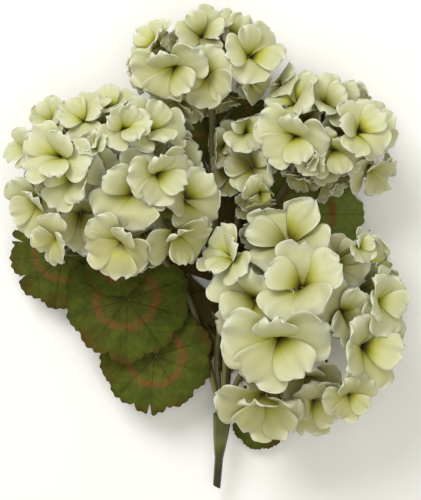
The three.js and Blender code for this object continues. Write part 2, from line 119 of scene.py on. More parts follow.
def grid_faces(rows, columns, closed=False, start=0):
    """The squares of a grid of points numbered row by row. A closed grid joins its last column to
    its first."""
    row, column = np.meshgrid(np.arange(rows - 1), np.arange(columns if closed else columns - 1),
                              indexing="ij")
    beside = (column + 1) % columns
    corners = [row * columns + column, row * columns + beside,
               (row + 1) * columns + beside, (row + 1) * columns + column]
    return np.stack(corners, axis=-1).reshape(-1, 4) + start


def add_piece(name, points, faces, material, node=None, uv=None):
    """A smooth mesh in the scene that rides on the part: points in millimetres, faces as lists of
    point numbers, and for each UV map one pair of numbers a point."""
    mesh = bpy.data.meshes.new(name)
    metres = (np.asarray(points).reshape(-1, 3) - FOOTPRINT_CENTRE) / 1000
    mesh.from_pydata(metres, [], faces)
    mesh.materials.append(material)
    corner_points = np.empty(len(mesh.loops), dtype=int)
    mesh.loops.foreach_get("vertex_index", corner_points)
    for map_name, pairs in (uv or {}).items():
        layer = mesh.uv_layers.new(name=map_name)
        layer.data.foreach_set("uv", np.asarray(pairs).reshape(-1, 2)[corner_points].ravel())
    mesh.polygons.foreach_set("use_smooth", np.full(len(mesh.polygons), True))
    mesh.update()
    piece = bpy.data.objects.new(name, mesh)
    bpy.context.scene.collection.objects.link(piece)
    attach(piece, "root")
    if node:
        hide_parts(node)
    return piece


def add_value(piece, name, values):
    """One number for each point of a piece, which its material can read by name."""
    layer = piece.data.attributes.new(name, "FLOAT", "POINT")
    layer.data.foreach_set("value", np.asarray(values, dtype=float).ravel())


def stub_points():
    """Rings round the stub's axis. The radius follows the profile, with two faint mould lines, and no
    point goes past the slanted cut: it stops where its line along the stub meets the cut."""
    axis = STUB_TIP - STUB_TOP
    length = np.linalg.norm(axis)
    axis = axis / length
    side = np.cross(axis, [0, 0, 1.0])
    side /= np.linalg.norm(side)
    front = np.cross(side, axis)
    angle = np.linspace(0, 2 * np.pi, STUB_SIDES, endpoint=False)[None, :]
    along = np.linspace(0, length, STUB_ROWS)[:, None]
    places, radii = zip(*STUB_PROFILE)
    radius = np.interp(along, places, radii) + MOULD_LINE * np.exp(-((np.sin(angle) / 0.1) ** 2))
    ring = radius[..., None] * (np.cos(angle)[..., None] * side + np.sin(angle)[..., None] * front)
    foot = STUB_TOP + ring
    reach = -((foot[..., :2] - CUT_POINT) @ CUT_NORMAL) / (axis[:2] @ CUT_NORMAL)
    return foot + np.minimum(along, reach)[..., None] * axis


def stub_plastic():
    """Shiny green plastic, dark at the socket end, paler below it, and dark again towards the cut, with
    slow patches."""
    material, tree, shader = new_material("stub_plastic", 0.32)
    place = add_node(tree, "ShaderNodeTexCoord").outputs["Object"]
    patches = add_node(tree, "ShaderNodeTexNoise", {"Vector": place, "Scale": 90.0, "Detail": 3.0})
    along = add_node(tree, "ShaderNodeAttribute", attribute_name="along").outputs["Fac"]
    wander = maths(tree, "MULTIPLY", maths(tree, "SUBTRACT", patches.outputs["Fac"], 0.5), 0.4)
    colour = colour_ramp(tree, maths(tree, "ADD", along, wander),
                         [(0.0, STUB_DARK), (0.08, STUB_COLOUR), (0.3, STUB_LIGHT), (0.5, STUB_COLOUR),
                          (0.75, STUB_DARK)])
    tree.links.new(colour, shader.inputs["Base Color"])
    ripple = add_node(tree, "ShaderNodeTexNoise", {"Vector": place, "Scale": 420.0, "Detail": 2.0})
    bump = add_node(tree, "ShaderNodeBump", {"Height": ripple.outputs["Fac"], "Strength": 0.15,
                                             "Distance": 0.0004})
    tree.links.new(bump.outputs["Normal"], shader.inputs["Normal"])
    return material


stub_rows = stub_points()
stub_faces = grid_faces(STUB_ROWS, STUB_SIDES, closed=True).tolist()
stub_faces.append(list(range(STUB_SIDES))[::-1])
stub_faces.append(list(range((STUB_ROWS - 1) * STUB_SIDES, STUB_ROWS * STUB_SIDES)))
stub = add_piece("stub_handle", stub_rows, stub_faces, stub_plastic(), "stub")
add_value(stub, "along", np.repeat(np.linspace(0, 1, STUB_ROWS), STUB_SIDES))


# The stems: five wires in dark olive plastic, each moulded in one piece with the stalks of its
# leaves. Their lower ends are pushed into the stub and glued. A stem is given by the angle of its
# socket in the stub and the points that it runs through.
STEM_RADIUS = 2.2
STEM_END_RADIUS = 1.5
STALK_RADIUS = 1.2
STEM_RING = 2.95
SOCKET_DEPTH = 12
STEM_TAPER = 45
CLEARANCE = 0.3
LEAF_THICKNESS = 0.8
STEM_STEPS = 90
STEM_SIDES = 20
STEMS = {
    "stem_left": (162, [[1, -70, 20], [-4, -53, 17], [-10, -34, 16], [-20, -17, 19], [-40, 12, 35],
                        [-51, 32, 46]]),
    "stem_top": (90, [[12, -66, 27], [10, -31, 28], [6, 5, 27], [4, 44, 27], [4, 80, 32], [1, 102, 40]]),
    "stem_right": (306, [[15, -68, 17], [24, -25, 16], [37, 15, 18], [53, 45, 28], [66, 61, 41]]),
    "stem_front": (18, [[21, -80, 26], [37, -62, 34], [52, -46, 47]]),
    "stem_back": (234, [[7, -68, 15], [13, -25, 14], [19, 12, 16], [24, 40, 29], [25, 47, 33]]),
}
# Each leaf has its stem, the share of the stem at which its stalk branches off, its hub, size and lean, the
# angle of its notch and those of any slits, and how much painted shade darkens its cloth and painted light
# lightens it.
LEAVES = {
    "leaf_left": dict(stem="stem_left", root=0.68, hub=[-90, -4, 16], size=33, notch=45, lean=[0.1, 0.1],
                      slits=[163, 210]),
    "leaf_inner": dict(stem="stem_left", root=0.6, hub=[-56, -12, 30], size=19, notch=62, lean=[0, 0.35]),
    "leaf_middle": dict(stem="stem_left", root=0.43, hub=[-49, -32, 28], size=38, notch=90, lean=[0, 0.22]),
    "leaf_lower": dict(stem="stem_left", root=0.27, hub=[-32, -67, 25], size=35, notch=85,
                       lean=[-0.08, 0.1], slits=[264]),
    "leaf_right": dict(stem="stem_right", root=0.6, hub=[62, 21, 9.5], size=37, notch=219,
                       lean=[0.05, 0.1], painted_light=0.6),
    "leaf_top": dict(stem="stem_top", root=0.83, hub=[17, 88, 16], size=19, notch=239, lean=[0.05, 0]),
    "leaf_upper": dict(stem="stem_top", root=0.7, hub=[-5, 61, 12], size=22, notch=293, lean=[-0.1, 0.1]),
    "leaf_bottom": dict(stem="stem_front", root=0.42, hub=[35, -110, 9], size=18, notch=115,
                        lean=[0, -0.1]),
    "leaf_stem": dict(stem="stem_back", root=0.25, hub=[9, -60, 4], size=19, notch=255, lean=[0, 0],
                      painted_shade=0.8),
    "leaf_centre": dict(stem="stem_back", root=0.65, hub=[12, 18, 8], size=21, notch=272, lean=[0, 0],
                        painted_shade=0.7),
    "leaf_deep": dict(stem="stem_back", root=0.52, hub=[24, -7, 4], size=19, notch=180, lean=[0, 0],
                      painted_shade=0.9),
    "leaf_under": dict(stem="stem_back", root=0.33, hub=[-1, -47, 8.5], size=20, notch=325, lean=[0, 0],
                       painted_shade=0.9),
    "leaf_hidden": dict(stem="stem_back", root=0.4, hub=[-12, -16, 4], size=16.5, notch=330, lean=[0, 0],
                        painted_shade=1.0),
}
STEM_OLIVE = (88, 84, 36)
STEM_BROWN = (78, 64, 30)
STEM_PAINTED_HIGHLIGHT = (128, 122, 70)


def smooth_path(points, steps):
    """Even steps along a centripetal Catmull-Rom curve: between two points it is the cubic whose
    slopes fit knots spaced by the root of the distance, and its ends are carried on straight."""
    p = np.asarray(points, dtype=float)
    p = np.vstack([2 * p[0] - p[1], p, 2 * p[-1] - p[-2]])
    s = np.linspace(0, 1, 40, endpoint=False)[:, None]
    stretches = []
    for a, b, c, d in zip(p, p[1:], p[2:], p[3:]):
        before, between, after = (np.linalg.norm(q - r) ** 0.5 for q, r in ((b, a), (c, b), (d, c)))
        leave = between * ((b - a) / before - (c - a) / (before + between)) + (c - b)
        arrive = between * ((d - c) / after - (d - b) / (between + after)) + (c - b)
        curve = b + leave * s + (3 * (c - b) - 2 * leave - arrive) * s ** 2
        stretches.append(curve + (2 * (b - c) + leave + arrive) * s ** 3)
    dense = np.vstack([*stretches, p[-2:-1]])
    travelled = np.r_[0, np.cumsum(np.linalg.norm(np.diff(dense, axis=0), axis=1))]
    even = np.linspace(0, travelled[-1], steps + 1)
    return np.stack([np.interp(even, travelled, dense[:, i]) for i in range(3)], axis=1)


def tube(path, radius, sides, ridges=0.0):
    """Rings round a path. Each ring stands square to the path, and its radius swells into four low
    ridges by the share given."""
    way = np.gradient(path, axis=0)
    way /= np.linalg.norm(way, axis=1)[:, None]
    side = np.cross(way, [0.05, 0.1, 1.0])
    side /= np.linalg.norm(side, axis=1)[:, None]
    front = np.cross(side, way)
    angle = np.linspace(0, 2 * np.pi, sides, endpoint=False)[None, :]
    swell = np.asarray(radius).reshape(-1, 1) * (1 + ridges * np.cos(4 * angle))
    return (path[:, None] + (swell * np.cos(angle))[..., None] * side[:, None]
            + (swell * np.sin(angle))[..., None] * front[:, None])


def capped_faces(rows, sides, start=0):
    """The squares of a tube's rings and one flat face at each of its ends."""
    last = start + (rows - 1) * sides
    return (grid_faces(rows, sides, closed=True, start=start).tolist()
            + [list(range(start, start + sides))[::-1], list(range(last, last + sides))])


def stem_path(name, steps):
    """The middle line of a stem, from the foot of its socket to the hub of its head."""
    ring, route = STEMS[name]
    turn = math.radians(ring)
    axis = (STUB_TIP - STUB_TOP) / np.linalg.norm(STUB_TIP - STUB_TOP)
    mouth = STUB_TOP + STEM_RING * np.array([math.cos(turn), 0, math.sin(turn)])
    foot = mouth + axis * (SOCKET_DEPTH - CLEARANCE)
    collar = mouth - axis * SOCKET_DEPTH / 3
    return smooth_path([foot, mouth, collar, *route], steps)


def stem_radius(path):
    """Slim in the socket and among its neighbours, then full, by a smooth step; a little uneven."""
    travelled = np.r_[0, np.cumsum(np.linalg.norm(np.diff(path, axis=0), axis=1))]
    share = np.clip((travelled - SOCKET_DEPTH) / STEM_TAPER, 0, 1)
    grown = share * share * (3 - 2 * share)
    uneven = 0.05 * np.sin(travelled / 7) + 0.03 * np.sin(travelled / 2.6)
    return STEM_END_RADIUS + (STEM_RADIUS - STEM_END_RADIUS) * grown + uneven


def stalk_path(leaf, steps):
    """The middle line of a leaf's stalk, from its stem to just under the leaf's hub."""
    stem = stem_path(leaf["stem"], 400)
    start = stem[round(leaf["root"] * 400)]
    end = np.array(leaf["hub"]) - [0, 0, LEAF_THICKNESS / 2 + CLEARANCE]
    bend = start + 0.55 * (end - start)
    bend[2] = max(min(start[2], end[2] - 2), STALK_RADIUS + 2 * CLEARANCE)
    return smooth_path([start, bend, end], steps)


def stem_plastic():
    """Dull olive plastic over wire, browner in patches, with fine lines and a painted highlight: one paler
    stripe along the stem."""
    material, tree, shader = new_material("stem_plastic", 0.55)
    place = add_node(tree, "ShaderNodeTexCoord").outputs["Object"]
    patches = add_node(tree, "ShaderNodeTexNoise", {"Vector": place, "Scale": 90.0, "Detail": 4.0})
    colour = colour_ramp(tree, patches.outputs["Fac"], [(0.35, STEM_BROWN), (0.6, STEM_OLIVE)])
    around = add_node(tree, "ShaderNodeUVMap", uv_map="around")
    parts = add_node(tree, "ShaderNodeSeparateXYZ", {0: around.outputs["UV"]})
    # The paler stripe is a painted highlight, along the same side of every tube.
    off_stripe = maths(tree, "ABSOLUTE", maths(tree, "SUBTRACT", parts.outputs[0], 2.0))
    stripe = maths(tree, "MULTIPLY", maths(tree, "SUBTRACT", 1.0, off_stripe), 0.8)
    colour = mix_colours(tree, stripe, colour, srgb(*STEM_PAINTED_HIGHLIGHT))
    tree.links.new(colour, shader.inputs["Base Color"])
    lines = add_node(tree, "ShaderNodeTexNoise", {"Vector": around.outputs["UV"], "Scale": 14.0})
    bump = add_node(tree, "ShaderNodeBump", {"Height": lines.outputs["Fac"], "Strength": 0.5,
                                             "Distance": 0.0006})
    tree.links.new(bump.outputs["Normal"], shader.inputs["Normal"])
    return material


def add_stem(name, material):
    """One stem and its leaves' stalks, joined in one mesh."""
    points, faces, uv = [], [], []
    path = stem_path(name, STEM_STEPS)
    tubes = [tube(path, stem_radius(path), STEM_SIDES, ridges=0.03)]
    for leaf in LEAVES.values():
        if leaf["stem"] == name:
            stalk = stalk_path(leaf, 40)
            swelling = 0.5 * np.exp(-np.linspace(0, 12, 41)) + 0.25 * np.exp(-np.linspace(14, 0, 41))
            tubes.append(tube(stalk, STALK_RADIUS * (1 + swelling), 12))
    for rings in tubes:
        rows, sides = rings.shape[:2]
        faces += capped_faces(rows, sides, start=sum(len(p) for p in points))
        row, column = np.meshgrid(np.arange(rows) / 8, 6 * np.arange(sides) / sides, indexing="ij")
        uv.append(np.stack([column, row], axis=-1).reshape(-1, 2))
        points.append(rings.reshape(-1, 3))
    add_piece(name + "_wire", np.vstack(points), faces, material, name,
              uv={"around": np.vstack(uv)})


stem_material = stem_plastic()
for stem_name in STEMS:
    add_stem(stem_name, stem_material)


# The leaves: stamped from green cloth and pressed hot, which leaves the veins, the pleats between
# them and the toothed rim. The brown ring is printed. Each is glued on the end of its stalk.
LEAF_ROWS = 36
LEAF_COLUMNS_PER_LOBE = 24
NOTCH_HALF = math.radians(12)
LARGE_LEAF = 30
PLEAT = 0.035
DROOP = 0.05
SLIT_DEPTH = 0.22
SLIT_WIDTH = 0.025
VEIN_GROOVE = 0.018
RING_PLACE = 0.47
LEAF_CLOTH = 0.0005
LEAF_GREENS = [(0.0, (82, 86, 26)), (0.4, (94, 98, 34)), (0.62, (84, 92, 28)), (0.9, (82, 92, 24)),
               (1.0, (68, 74, 20))]
LEAF_DARK = (50, 58, 16)
LEAF_VEIN = (50, 56, 18)
LEAF_RING = (126, 78, 44)
LEAF_BROWN = (88, 66, 26)
LEAF_SHADE = (76, 66, 26)
LEAF_PAINTED_LIGHT = (128, 142, 66)


# Where neighbouring pieces press on each other they part at a plane, given by a point and a normal:
# the first list keeps to the side that the normal points to, the second to the other side.
PARTINGS = [
    (["head_back"], [], [0, 0, 14], [0, 0, 1]),
    (["head_front"], ["head_left"], [0, 2, 60], [0.85, -0.52, 0.1]),
    (["head_front"], ["head_right"], [60, 28, 60], [0, -0.8, 0.6]),
    (["head_right"], ["head_top"], [38, 98, 60], [0.8, -0.6, 0.1]),
    (["head_right"], ["head_back"], [40, 60, 55], [0.75, 0, 0.6]),
    (["head_top"], ["head_back"], [15, 80, 40], [-0.2, 1, 0.2]),
    (["head_left"], ["head_back"], [5, 50, 45], [-1, 0, 0.2]),
    (["head_left"], ["head_top"], [-32, 88, 50], [-0.4, -0.9, 0.2]),
    (["head_front"], ["head_back"], [40, 25, 45], [0.2, -0.9, 0.4]),
    (["head_left"], ["leaf_left", "leaf_inner", "leaf_middle"], [-55, -8, 34], [0, 0.7, 0.7]),
    (["head_left"], ["leaf_upper"], [-22, 52, 18], [-0.7, 0, 0.7]),
    (["head_back"], ["leaf_top"], [14, 76, 18], [0, -0.3, 0.95]),
    (["head_top"], ["leaf_top", "leaf_upper"], [5, 92, 15], [0, 0.5, 0.85]),
    (["head_front"], ["leaf_right"], [58, 4, 14], [0, -0.5, 0.87]),
    (["head_right"], ["leaf_right"], [60, 42, 9.5], [0, 0.5, 0.87]),
    (["head_front"], ["leaf_lower"], [9, -50, 28], [0.8, 0, 0.6]),
    (["head_front"], ["leaf_deep"], [40, -24, 7], [0.55, -0.4, 0.73]),
    (["head_front"], ["leaf_bottom"], [44, -96, 12], [0, 0.5, 0.87]),
]


def wave(a, b):
    """A spread from -1 to 1 that looks random but is always the same."""
    return np.sin(2.3 * a + 4.1 * b)


def limits_of(name):
    """The planes that a piece keeps clear of, as (point, normal, gap), the floor first."""
    limits = [(np.zeros(3), np.array([0.0, 0.0, 1.0]), 0.0)]
    for above, below, point, normal in PARTINGS:
        normal = np.array(normal) / np.linalg.norm(normal)
        if name in above:
            limits.append((np.array(point), normal, CLEARANCE / 2))
        elif name in below:
            limits.append((np.array(point), -normal, CLEARANCE / 2))
    return limits


def bend_clear(points, facing, limits, margin):
    """Points nearer to a plane than the margin are lifted off it by what they lack, and slide as far
    towards the way that their blade faces."""
    for on_plane, normal, gap in limits:
        depth = np.maximum(margin + gap - (points - on_plane) @ normal, 0)[..., None]
        slide = facing - (facing @ normal)[..., None] * normal
        points = points + depth * (normal + slide)
    return points


def leaf_points(name):
    """Rows of a blade from its hub to its rim. The rim's distance goes from 0.91 of the size between
    lobes to about 1.02 in their middle, with fine uneven teeth and a cut at each slit. The height is
    a pleat between the veins, a droop to the rim, a groove along each vein and slow waves."""
    leaf = LEAVES[name]
    size = leaf["size"]
    lobes = 9 if size > LARGE_LEAF else 7
    t = np.linspace(0, 1, lobes * LEAF_COLUMNS_PER_LOBE + 1)[None, :]
    share = np.linspace(0, 1, LEAF_ROWS + 1)[1:, None]
    lobe = np.abs(np.sin(np.pi * lobes * t))
    angle = math.radians(leaf["notch"]) + NOTCH_HALF + t * (2 * np.pi - 2 * NOTCH_HALF)
    teeth = 0.022 * np.abs(np.sin(2.5 * np.pi * lobes * t + 0.4)) + 0.014 * np.sin(41 * angle + size)
    rim = 0.91 + (0.095 + 0.03 * wave(np.floor(lobes * t), size)) * lobe ** 0.6 + teeth
    for slit in leaf.get("slits", []):
        rim = rim - SLIT_DEPTH * np.exp(-(((angle - math.radians(slit)) / SLIT_WIDTH) ** 2))
    reach = share * (1 + (rim - 1) * share ** 4)
    fold = PLEAT * np.cos(2 * np.pi * lobes * t) - DROOP
    groove = -VEIN_GROOVE * np.exp(-((np.cos(np.pi * lobes * t) / 0.16) ** 2)) * share ** 0.5
    swell = 0.022 * np.sin(2 * angle + size) + 0.015 * np.sin(5 * angle + 2 * size)
    flick = 0.02 * np.sin(17 * angle + size) * share ** 5
    height = size * (reach ** 2 * (fold + swell) + groove + flick)
    up = np.array([*leaf["lean"], 1.0])
    up /= np.linalg.norm(up)
    right = np.array([1.0, 0, 0]) - up * up[0]
    right /= np.linalg.norm(right)
    forward = np.cross(up, right)
    flat = size * reach
    rows = (np.array(leaf["hub"]) + (flat * np.cos(angle))[..., None] * right
            + (flat * np.sin(angle))[..., None] * forward + height[..., None] * up)
    blade = np.vstack([np.array(leaf["hub"])[None], rows.reshape(-1, 3)])
    facing = np.broadcast_to(up, blade.shape)
    across = np.stack(np.broadcast_arrays(lobes * t, reach), axis=-1).reshape(-1, 2)
    return (bend_clear(blade, facing, limits_of(name), LEAF_THICKNESS / 2),
            np.vstack([[[0.5, 0.0]], across]), t.shape[1])


def weave_group():
    """Crossed threads: the height is the mean of three sines, one along each axis, each with one
    wave a thread."""
    group = bpy.data.node_groups.new("cloth_weave", "ShaderNodeTree")
    group.interface.new_socket("Vector", in_out="INPUT", socket_type="NodeSocketVector")
    group.interface.new_socket("Threads", in_out="INPUT", socket_type="NodeSocketFloat")
    group.interface.new_socket("Height", in_out="OUTPUT", socket_type="NodeSocketFloat")
    start = group.nodes.new("NodeGroupInput").outputs
    end = group.nodes.new("NodeGroupOutput").inputs
    parts = add_node(group, "ShaderNodeSeparateXYZ", {0: start["Vector"]})
    waves = [maths(group, "SINE", maths(group, "MULTIPLY", parts.outputs[i], start["Threads"]))
             for i in (0, 1, 2)]
    total = maths(group, "ADD", maths(group, "ADD", waves[0], waves[1]), waves[2])
    group.links.new(maths(group, "MULTIPLY", total, 0.33), end["Height"])
    return group


def leaf_cloth(weave):
    """Printed green cloth, mottled, with dark veins: one down each lobe and branches from it. A soft russet
    ring crosses them half way out, and brownish stains mark parts of the rim. Leaves deep in the bush get
    painted shade, and one leaf low under the heads gets painted light."""
    material, tree, shader = new_material("leaf_cloth", 0.75, Specular_IOR_Level=0.12)
    uv = add_node(tree, "ShaderNodeUVMap", uv_map="lobes").outputs["UV"]
    parts = add_node(tree, "ShaderNodeSeparateXYZ", {0: uv})
    lobe, reach = parts.outputs[0], parts.outputs[1]
    aside = maths(tree, "ABSOLUTE", maths(tree, "SUBTRACT", maths(tree, "FRACT", lobe), 0.5))
    place = add_node(tree, "ShaderNodeTexCoord").outputs["Object"]
    fine = add_node(tree, "ShaderNodeTexNoise", {"Vector": place, "Scale": 160.0, "Detail": 5.0})
    broad = add_node(tree, "ShaderNodeTexNoise", {"Vector": place, "Scale": 45.0, "Detail": 3.0})
    fine, broad = fine.outputs["Fac"], broad.outputs["Fac"]
    green = colour_ramp(tree, reach, LEAF_GREENS)
    mottle = colour_ramp(tree, fine, [(0.35, (0, 0, 0)), (0.65, (190, 190, 190))])
    green = mix_colours(tree, mottle, green, srgb(*LEAF_DARK))
    # A leaf low under the heads is mixed towards a lighter green: painted light.
    painted_light = add_node(tree, "ShaderNodeAttribute", attribute_name="painted_light").outputs["Fac"]
    green = mix_colours(tree, painted_light, green, srgb(*LEAF_PAINTED_LIGHT))
    stain = maths(tree, "MULTIPLY", maths(tree, "SUBTRACT", maths(tree, "MULTIPLY", reach, broad), 0.42),
                  4.0)
    green = mix_colours(tree, stain, green, srgb(*LEAF_BROWN))
    wander = maths(tree, "MULTIPLY", maths(tree, "SUBTRACT", broad, 0.5), 0.24)
    ring_place = maths(tree, "ADD", maths(tree, "ADD", reach, wander),
                       maths(tree, "MULTIPLY", aside, -0.06))
    off_ring = maths(tree, "ABSOLUTE", maths(tree, "SUBTRACT", ring_place, RING_PLACE))
    ring = colour_ramp(tree, off_ring, [(0.015, (255, 255, 255)), (0.09, (0, 0, 0))])
    broken = maths(tree, "MULTIPLY", ring, maths(tree, "MULTIPLY", fine, 1.3))
    green = mix_colours(tree, broken, green, srgb(*LEAF_RING))
    width = maths(tree, "ADD", maths(tree, "MULTIPLY", maths(tree, "SUBTRACT", 1.0, reach), 0.014), 0.006)
    main_vein = maths(tree, "LESS_THAN", maths(tree, "MULTIPLY", aside, maths(tree, "ADD", reach, 0.1)),
                      width)
    branch = maths(tree, "FRACT", maths(tree, "SUBTRACT", maths(tree, "MULTIPLY", reach, 5.5),
                                        maths(tree, "MULTIPLY", aside, 3.2)))
    side_vein = maths(tree, "LESS_THAN", maths(tree, "ABSOLUTE", maths(tree, "SUBTRACT", branch, 0.5)),
                      0.06)
    veins = maths(tree, "MAXIMUM", main_vein, maths(tree, "MULTIPLY", side_vein, 0.5))
    colour = mix_colours(tree, maths(tree, "MULTIPLY", veins, 0.5), green, srgb(*LEAF_VEIN))
    # Leaves deep in the bush are mixed towards a dark shade colour: painted shade.
    painted_shade = add_node(tree, "ShaderNodeAttribute", attribute_name="painted_shade").outputs["Fac"]
    colour = mix_colours(tree, painted_shade, colour, srgb(*LEAF_SHADE))
    tree.links.new(colour, shader.inputs["Base Color"])
    threads = add_node(tree, "ShaderNodeGroup", {}, node_tree=weave)
    tree.links.new(place, threads.inputs["Vector"])
    threads.inputs["Threads"].default_value = 9000.0
    relief = maths(tree, "ADD", maths(tree, "MULTIPLY", threads.outputs["Height"], 0.12),
                   maths(tree, "SUBTRACT", fine, maths(tree, "MULTIPLY", veins, 0.8)))
    bump = add_node(tree, "ShaderNodeBump", {"Height": relief, "Strength": 0.6, "Distance": 0.0008})
    tree.links.new(bump.outputs["Normal"], shader.inputs["Normal"])
    return material


def add_leaf(name, material):
    """One blade, given its thickness by a Solidify modifier."""
    points, uv, columns = leaf_points(name)
    fan = [[0, 1 + i, 2 + i] for i in range(columns - 1)]
    faces = fan + grid_faces(LEAF_ROWS, columns, start=1)[:, ::-1].tolist()
    piece = add_piece(name + "_blade", points, faces, material, name, uv={"lobes": uv})
    for value_name in ("painted_shade", "painted_light"):
        add_value(piece, value_name, np.full(len(points), LEAVES[name].get(value_name, 0.0)))
    thickness = piece.modifiers.new("thickness", "SOLIDIFY")
    thickness.thickness = LEAF_CLOTH
    thickness.offset = 0


cloth_threads = weave_group()
leaf_material = leaf_cloth(cloth_threads)
for leaf_name in LEAVES:
    add_leaf(leaf_name, leaf_material)


# The flower heads: balls of five-petalled florets. The petals of a floret are cut from one piece of
# cream cloth that is dyed yellow-green at the throat, and threaded on the end of a thin green stalk.
# Each listed floret or bud has its x and y from the head's centre, its size and its turn in degrees.
HEADS = {
    "head_left": dict(
        centre=[-55, 41, 46], reach=[64, 56, 53], lower=7, inner=18, turn=-50, buds=[[-10, 18, 13, 10]],
        florets=[[27, 2, 20, 35], [13, -8, 24, 0], [-30, 12, 22, 56], [23, 29, 20, 10], [43, -12, 21, 50],
                 [8, 29, 16, 83], [-17, 36, 17, 60], [-2, 42, 16, 87], [-9, 6, 18, 100], [-23, 0, 19, 20],
                 [38, -33, 21, 250], [-20, -22, 22, 265], [4, -38, 20, 270], [-46, -14, 20, 200],
                 [-52, 18, 16, 150], [-7, -20, 16, 30], [-38, 36, 15, 130], [-34, -36, 16, 235]]),
    "head_top": dict(
        centre=[-1, 113, 35], reach=[46, 34, 43], lower=5, inner=12, turn=0,
        florets=[[-19, -6, 23, 37], [1, -10, 18, 48], [-16, -24, 17, 24], [-1, 16, 18, 60],
                 [28, 3, 20, 335], [17, 14, 17, 0], [-7, 7, 12, 90], [-30, 10, 15, 130],
                 [28, -13, 15, 300]]),
    "head_right": dict(
        centre=[71, 68, 41], reach=[44, 41, 43], lower=6, inner=12, turn=0, buds=[[-8, -15, 12, 20]],
        florets=[[-19, -2, 22, 5], [-19, 20, 19, 36], [1, 18, 18, 28], [5, -10, 18, 350], [19, 1, 18, 33],
                 [28, -20, 19, 16], [9, 22, 15, 80], [29, 4, 15, 30], [-27, 31, 16, 150]]),
    "head_front": dict(
        centre=[58, -41, 51], reach=[59, 70, 50], lower=7, inner=9, turn=-75,
        florets=[[-16, -12, 31, 24], [-3, 20, 25, 15], [-43, 35, 20, 20], [-30, 11, 26, 142],
                 [-10, 45, 29, 30], [23, 2, 22, 356], [44, 10, 19, 60], [35, -17, 25, 345],
                 [-23, -49, 27, 30], [26, -46, 15, 180], [6, -51, 20, 330], [32, 42, 11, 90],
                 [43, -6, 17, 30]]),
    "head_back": dict(
        centre=[25, 51, 37], reach=[32, 32, 22], lower=3, inner=5, turn=0,
        florets=[[-1, 20, 16, 95], [3, -1, 17, 250], [-14, 12, 15, 120], [8, -19, 15, 270],
                 [-10, -4, 14, 200], [14, 28, 14, 60]]),
}
PETALS = 5
PETAL_GRID = (16, 14)
INNER_GRID = (8, 6)
PETAL_WIDEST = 0.66
PETAL_TIP = 0.38
PETAL_NECK = 0.1
PETAL_HALF_WIDTH = 0.54
PETAL_SWAY = 0.09
PETAL_RISE = 0.34
PETAL_CURL = 0.11
PETAL_CUP = 0.15
SIDE_LIFT = 0.05
PETAL_LAP = 0.035
PETAL_RUFFLE = 0.075
PETAL_RIPPLE = 0.024
PETAL_CREASE = 0.02
PETAL_TILT = 0.28
PETAL_TWIST = 0.12
PETAL_YAW = 0.05
PETAL_THICKNESS = 0.8
PETAL_CLOTH = 0.00035
PRESS_STEP = 0.13
THROAT_RADIUS = 0.04
FUNNEL_DEPTH = 0.2
FLORET_LEAN = 0.25
FLORET_CUP = 0.08
THROAT_SINK = 0.25
NEAR = 0.85
LEVELS = 4
LEVEL_STEP = 6.5
GOLDEN_ANGLE = 137.5
TURN_STEP = 40.0
LOWER_SIZE = 0.15
LOWER_REACH = 0.9
LOWER_DEPTH = 0.95
LOWER_BAND = 0.92
LOWEST_THROAT = 0.18
LOWEST_RISE = 0.25
INNER_SHARE = np.array([0.68, 0.68, 0.5])
INNER_SIZE = 0.145
INNER_BAND = 1.2
TUCK_GAP = 0.8
TUCK_SLOPE = 0.16
TUCK_FUNNEL = 0.26
TUCK_REACH = 1.12
TUCK_FADE = 0.25
BUD_SHARE = 0.86
BUD_TILT = 0.7
FACING_OUT = 1.15
FACING_UP = 0.006
# The darkest stops at the throat are painted shade at the bottom of its funnel; the rest is the dye.
PETAL_DYE_AND_THROAT_SHADE = [(0.0, (48, 38, 10)), (0.05, (104, 98, 22)), (0.12, (154, 154, 36)), (0.2, (178, 180, 72)),
             (0.3, (188, 190, 116)), (0.45, (193, 195, 144)), (1.0, (199, 202, 168))]
PETAL_RIM_PALE_AND_HIGHLIGHT = (220, 223, 204)
PETAL_SHADE = (96, 88, 14)
PETAL_BEIGE_AND_LOW_SHADE = (160, 152, 76)
CALYX_GREEN = (104, 108, 46)
HUB_OLIVE = (54, 48, 18)


def unit(vectors):
    """Vectors drawn to length 1."""
    return vectors / np.linalg.norm(vectors, axis=-1, keepdims=True)


